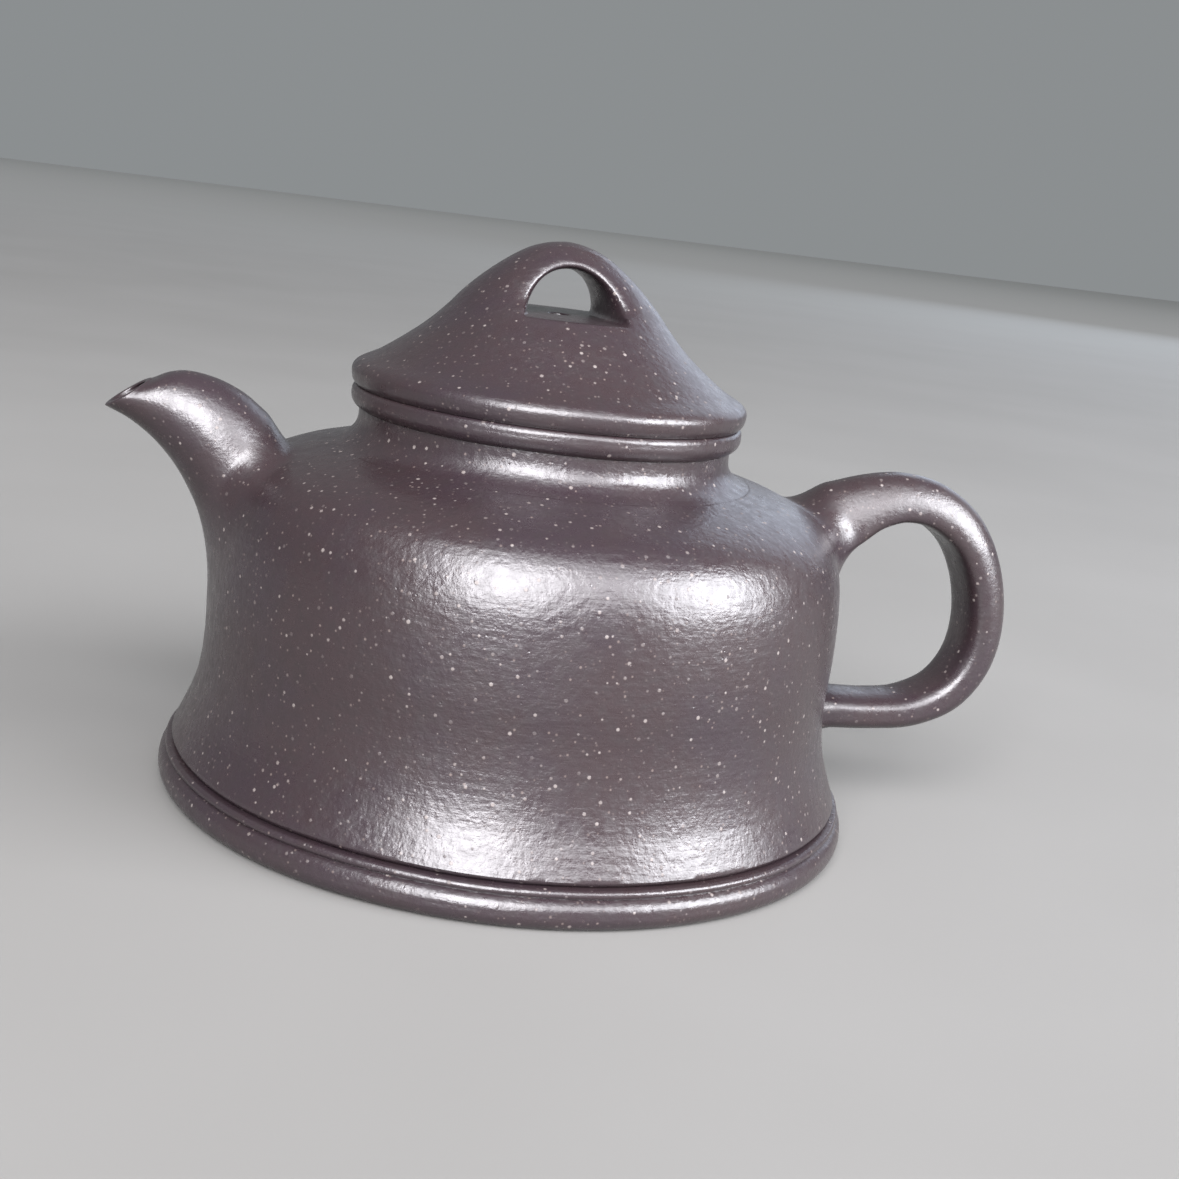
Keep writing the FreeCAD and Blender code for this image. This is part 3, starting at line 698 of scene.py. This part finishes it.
def ear_ring(number):
    """A ring of the handle: round outside, flatter inside, and widest a little inwards."""
    here = ear_line[number]
    ahead = ear_line[min(number + 1, len(ear_line) - 1)]
    behind = ear_line[max(number - 1, 0)]
    along = (ahead - behind).to_3d()
    outward = Vector((-along.y, 0, along.x)).normalized()
    middle = Vector((here.x, 0, here.y))
    thick, wide = here.z, here.w
    lean = INWARD_LEAN[0] + INWARD_LEAN[1] * outward.z
    inner_power = INNER_POWER[0] + INNER_POWER[1] * lean

    def place(bearing):
        up, across = math.cos(bearing), math.sin(bearing)
        level = up if up > 0 else -abs(up) ** inner_power
        rise = (level - lean * across * across) * thick
        reach = math.copysign(abs(across) ** SIDE_FULLNESS, across) * wide
        return middle + rise * outward + reach * ACROSS
    return place


def ear_spread(bearing):
    """The foot of the upper flare runs further down the wall than up the shoulder."""
    return 8.0 - 2.5 * math.cos(bearing) + 0.5 * math.cos(bearing) ** 2


ear_rings = [ear_ring(number) for number in range(len(ear_line))]
top_flare = flare_rings(ear_rings[0], ear_rings[1], ear_spread)
foot_flare = flare_rings(ear_rings[-1], ear_rings[-2], lambda bearing: FOOT_SPREAD, steps=8)
ear_mesh = drawn_tube(top_flare + ear_rings + foot_flare[::-1], 96)
bmesh.ops.holes_fill(ear_mesh, edges=[edge for edge in ear_mesh.edges if edge.is_boundary])
handle = finish_mesh("clay_handle", ear_mesh)

# %% [markdown]
# ## The lid
# The lid sits on the mouth with a skirt that keeps it from sliding off.  Its rim bead, its hollow
# cone and its bridge are one flowing form, so they are drawn as one, cut through, knit into even
# squares, rubbed smooth and only then parted at their joints.

# %% Lid skirt and rim bead
lid_skirt = turned_piece("clay_lid_skirt", joined(
    [(skirt_bore, seam), (skirt_bore, skirt_low + 0.6)],
    arc((skirt_bore + 0.1, skirt_low + 0.3), ((skirt_bore + skirt_radius) / 2, skirt_low),
        (skirt_radius - 0.1, skirt_low + 0.3), 10),
    [(skirt_radius, skirt_low + 0.6), (skirt_radius, seam)],
))
LID_KNOTS = [
    (27.05, seam + 0.02),
    (27.50, seam + 0.55),
    (27.72, seam + 1.35),
    (27.72, seam + 2.25),
    (27.20, rim_top),
    (26.20, rim_top + 0.60),
    (24.30, rim_top + 1.60),
    (21.30, rim_top + 3.75),
    (18.30, rim_top + 6.20),
    (cone_radius, floor),
    (13.70, floor + 2.40),
    (11.10, floor + 4.95),
    (8.20, floor + 7.30),
    (5.30, floor + 9.15),
    (2.60, floor + 10.12),
    (0.0, crown),
]
RIM_KNOT = 4   # the knot where the rim bead ends and the cone starts
LID_PITCH = 0.4
lid_spans = flowing(LID_KNOTS, LID_PITCH)
lid_rim_bead = turned_piece("clay_lid_rim_bead", joined(
    *lid_spans[:RIM_KNOT], [(skirt_bore, rim_top), (skirt_bore, seam), (26.6, seam)]))

# %% [markdown]
# The bridge is a dome with a tunnel.  The tool for the tunnel is a round bar with its lower half
# sliced off, widened to the front and the back, and laid a little above the joint of cone and
# bridge.  The dome is pinched a little from front and back before it is cut.

# %% Lid form
TUNNEL_RADIUS = 5.8
TUNNEL_HEIGHT = 6.5
TUNNEL_FLARE = 1.7
FLOOR_RISE = 0.6
TUNNEL_HALF = 12.0
TUNNEL_CUTS = 35
PINCH = 0.16
PINCH_FROM = 66.0
PINCH_OVER = 7.0
CONE_INSIDE = 3.0    # the cone's hollow ends this far under the floor
JOINT_OVERLAP = 0.8  # extra clay below the rim's top, cut off again when the lid is parted
VOXEL = 0.26


def pinched(point):
    """Draws the dome in from front and back, more towards its crown."""
    share = min(1.0, max(0.0, (point.z - PINCH_FROM) / PINCH_OVER))
    return Vector((point.x, point.y * (1 - PINCH * share * share * (3 - 2 * share)), point.z))


HOLLOW_KNOTS = [
    (skirt_bore, rim_top),
    (18.6, rim_top + 1.6),
    (16.0, rim_top + 3.7),
    (13.2, floor - CONE_INSIDE - 0.1),
    (9.0, floor - CONE_INSIDE),
    (0.0, floor - CONE_INSIDE),
]
form_outline = joined(
    *[span[::-1] for span in reversed(lid_spans[RIM_KNOT:])],
    [(27.7, rim_top - JOINT_OVERLAP), (skirt_bore, rim_top - JOINT_OVERLAP), (skirt_bore, rim_top)],
    *flowing(HOLLOW_KNOTS, 0.5))
lid_form = turned_mesh(even(form_outline, LID_PITCH, closed=False), closed=False)
for vertex in lid_form.verts:
    vertex.co = pinched(vertex.co)
bmesh.ops.recalc_face_normals(lid_form, faces=lid_form.faces)
tunnel = rod(Vector((0, 0, floor)), ACROSS, TUNNEL_RADIUS, 3 * TUNNEL_HALF, 96)
bmesh.ops.bisect_plane(tunnel, geom=tunnel.verts[:] + tunnel.edges[:] + tunnel.faces[:],
                       plane_co=(0, 0, floor), plane_no=(0, 0, -1), clear_outer=True)
bmesh.ops.holes_fill(tunnel, edges=[edge for edge in tunnel.edges if edge.is_boundary])
lengthways = [edge for edge in tunnel.edges
              if abs(edge.verts[0].co.y - edge.verts[1].co.y) > TUNNEL_HALF]
bmesh.ops.subdivide_edges(tunnel, edges=lengthways, cuts=TUNNEL_CUTS, use_grid_fill=True)
for vertex in tunnel.verts:
    share = (vertex.co.y / TUNNEL_HALF) ** 2
    widen = 1 + TUNNEL_FLARE / TUNNEL_RADIUS * share ** 1.5
    height = (vertex.co.z - floor) * widen * TUNNEL_HEIGHT / TUNNEL_RADIUS
    vertex.co.x *= widen
    vertex.co.z = floor + FLOOR_RISE + height
bmesh.ops.recalc_face_normals(tunnel, faces=tunnel.faces)
vent = rod(Vector((0, 0, floor - 1)), UP, vent_radius, 8)
lid_form = carved(lid_form, [tunnel, vent], VOXEL)
print("lid form", len(lid_form.faces), "faces")

# %% [markdown]
# Rubbing: the smoother evens out every corner.  The rim of the bridge is rubbed most, the cone and
# the floor's edge only a little, and the end at the rim bead not at all.

# %% Rub the lid
CONE_ROUNDS = 3
ARCH_ROUNDS = 190
CONE_RUB_FROM = 0.5   # above the rim's top
ARCH_RUB_FROM = 1.7   # above the floor
ARCH_RUB_REACH = 4.0  # beyond the tunnel's radius
cone = [vertex for vertex in lid_form.verts if vertex.co.z > rim_top + CONE_RUB_FROM]
arch = [vertex for vertex in cone
        if vertex.co.z > floor + ARCH_RUB_FROM
        and math.hypot(vertex.co.x, vertex.co.z - floor) < TUNNEL_RADIUS + ARCH_RUB_REACH]
for rubbed_part, rounds in ((cone, CONE_ROUNDS), (arch, ARCH_ROUNDS)):
    for _ in range(rounds):
        bmesh.ops.smooth_vert(lid_form, verts=rubbed_part, factor=0.5, use_axis_x=True,
                              use_axis_y=True, use_axis_z=True)
print(len(cone), "points rubbed,", len(arch), "of them round the bridge")

# %% Part the lid at its joints


def parted(mesh, above, below):
    """A closed copy of the part of a mesh between two levels."""
    part = mesh.copy()
    for level, side in ((above, -1), (below, 1)):
        if level is None:
            continue
        bmesh.ops.bisect_plane(part, geom=part.verts[:] + part.edges[:] + part.faces[:],
                               plane_co=(0, 0, level), plane_no=(0, 0, side), clear_outer=True)
        edges = [edge for edge in part.edges if edge.is_boundary]
        bmesh.ops.triangle_fill(part, edges=edges, use_beauty=True)
    return part


lid_cover = finish_mesh("clay_lid_cover", parted(lid_form, rim_top, floor))
bridge_knob = finish_mesh("clay_bridge_knob", parted(lid_form, floor, None))
lid_form.free()

# %% [markdown]
# ## Set the pieces on the imported bodies
# Each piece rides on a body of the imported model, hides the node it stands for, takes its material.

# %% Ride, replace and finish
pieces = [
    (base_slab, "pot", "base_slab", "clay_inside", scraped_clay),
    (foot_bead, "pot", "foot_bead", "clay", rubbed_clay),
    (body_wall, "pot", "body_wall", "clay", rubbed_clay),
    (shoulder_slab, "pot", "shoulder_slab", "clay", rubbed_clay),
    (neck_ring, "pot", "neck_ring", "clay", rubbed_clay),
    (mouth_bead, "pot", "mouth_bead", "clay", fingered_clay),
    (spout, "pot", "spout", "clay", fingered_clay),
    (handle, "pot", "handle", "clay", fingered_clay),
    (lid_skirt, "lid_ring", "lid_skirt", "clay", rubbed_clay),
    (lid_rim_bead, "lid", "lid_rim_bead", "clay", fingered_clay),
    (lid_cover, "lid", "lid_cover", "clay", rubbed_clay),
    (bridge_knob, "lid", "bridge_knob", "clay", rubbed_clay),
]
for piece, body, node, finish, material in pieces:
    piece.data.materials.append(material)
    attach(piece, body)
    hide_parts(node)
print(len(pieces), "pieces")

# %% [markdown]
# ## Studio
# A plain pale floor, soft rectangular lights and a pale surround.  Dark burnished clay shows its
# form almost only by what it reflects, so the lights are placed for the streaks they leave on it:
# two broad ones in front, weak ones between, above and behind.  Far away the floor is painted
# paler, a painted light where the lamps don't reach it.

# %% Floor
FLOOR_HALF = 4.0
FLOOR_LEVEL = -0.00005
PAPER_NEAR = (0.125, 0.122, 0.115, 1), (0.155, 0.152, 0.145, 1)
# painted light: the far floor is painted paler, standing in for lamp light that does not reach so far
PAPER_FAR_PAINTED_LIGHT = (0.50, 0.50, 0.485, 1)
PAINTED_LIGHT_TURN = (0.5, 3.6)   # metres from the pot where the painted far light starts and where it is full
floor_mesh = bmesh.new()
bmesh.ops.create_grid(floor_mesh, x_segments=1, y_segments=1, size=FLOOR_HALF)
bmesh.ops.translate(floor_mesh, verts=floor_mesh.verts, vec=(0, 0, FLOOR_LEVEL))
floor_data = bpy.data.meshes.new("pale_floor")
floor_mesh.to_mesh(floor_data)
floor_mesh.free()
pale_floor = bpy.data.objects.new("pale_floor", floor_data)
bpy.context.scene.collection.objects.link(pale_floor)
paper = bpy.data.materials.new("pale_paper")
paper_nodes = Nodes(paper)
place = paper_nodes.add("ShaderNodeTexCoord").outputs["Object"]
cloud = paper_nodes.add("ShaderNodeTexNoise", Vector=place, Scale=9.0, Detail=3.0)
near_shade = paper_nodes.mix(cloud.outputs[0], *PAPER_NEAR)
outwards = paper_nodes.add("ShaderNodeVectorMath", {"operation": "LENGTH"}, i0=place).outputs["Value"]
# painted light: the paper turns paler with distance from the pot, where the lamps give little light
paper_with_painted_light = paper_nodes.mix(paper_nodes.ramp(outwards, *PAINTED_LIGHT_TURN), near_shade, PAPER_FAR_PAINTED_LIGHT)
paper_shader = paper_nodes.add("ShaderNodeBsdfPrincipled", Base_Color=paper_with_painted_light, Roughness=0.8)
paper_nodes.add("ShaderNodeOutputMaterial", Surface=paper_shader.outputs[0])
floor_data.materials.append(paper)
print("floor", 2 * FLOOR_HALF, "metres wide")

# %% Surround
SURROUND_COLOUR = (0.72, 0.76, 0.78, 1)
SURROUND_STRENGTH = 0.36
world = bpy.data.worlds.new("surround")
bpy.context.scene.world = world
world.use_nodes = True
surround = world.node_tree.nodes["Background"]
surround.inputs["Color"].default_value = SURROUND_COLOUR
surround.inputs["Strength"].default_value = SURROUND_STRENGTH
bpy.context.scene.view_settings.view_transform = "Standard"

# %% Lights
LIGHT_DISTANCE = 2.0
LIGHT_AIM = Vector((0, 0, 0.04))
# name, azimuth from +X towards +Y, elevation, width, height, power, colour
LIGHTS = [
    ("window_front", -110, 31, 1.20, 1.70, 140.0, (0.97, 0.96, 1.0)),
    ("window_right", -30, 24, 1.40, 1.20, 108.0, (0.94, 0.95, 1.0)),
    ("window_between", -70, 34, 1.20, 1.10, 30.0, (0.97, 0.96, 1.0)),
    ("skylight", -96, 64, 2.60, 0.45, 18.0, (0.95, 0.97, 1.0)),
    ("window_side", 48, 22, 1.20, 1.20, 7.0, (0.74, 0.84, 1.0)),
]


def soft_light(name, azimuth, elevation, width, height, power, colour):
    """A rectangular light that looks at the pot."""
    data = bpy.data.lights.new(name, "AREA")
    data.shape = "RECTANGLE"
    data.size, data.size_y = width, height
    data.energy, data.color = power, colour
    light = bpy.data.objects.new(name, data)
    azimuth, elevation = math.radians(azimuth), math.radians(elevation)
    away = Vector((math.cos(elevation) * math.cos(azimuth), math.cos(elevation) * math.sin(azimuth),
                   math.sin(elevation)))
    turn = away.to_track_quat("Z", "Y").to_matrix().to_4x4()
    light.matrix_world = Matrix.Translation(LIGHT_AIM + away * LIGHT_DISTANCE) @ turn
    bpy.context.scene.collection.objects.link(light)


for row in LIGHTS:
    soft_light(*row)
print(len(LIGHTS), "lights")

# %% [markdown]
# ## Camera
# A hand-held close view from a little above, turned slightly, from 23 cm away.

# %% Camera
CAMERA_PLACE = (-0.0493, -0.2279, 0.0863)
CAMERA_BEARING = -0.2168   # radians, as are the next two
CAMERA_TILT = math.pi / 2 - 0.2362
CAMERA_ROLL = 0.1262
camera_data = bpy.data.cameras.new("camera")
camera_data.lens = 50.64
camera_data.sensor_width = 36.0
camera_data.shift_x = 0.05
camera_data.clip_start = 0.01
camera = bpy.data.objects.new("camera", camera_data)
camera.matrix_world = (Matrix.Translation(CAMERA_PLACE) @ Matrix.Rotation(CAMERA_BEARING, 4, "Z")
                       @ Matrix.Rotation(CAMERA_TILT, 4, "X") @ Matrix.Rotation(CAMERA_ROLL, 4, "Z"))
bpy.context.scene.collection.objects.link(camera)
bpy.context.scene.camera = camera
print("camera", camera_data.lens, "mm lens")
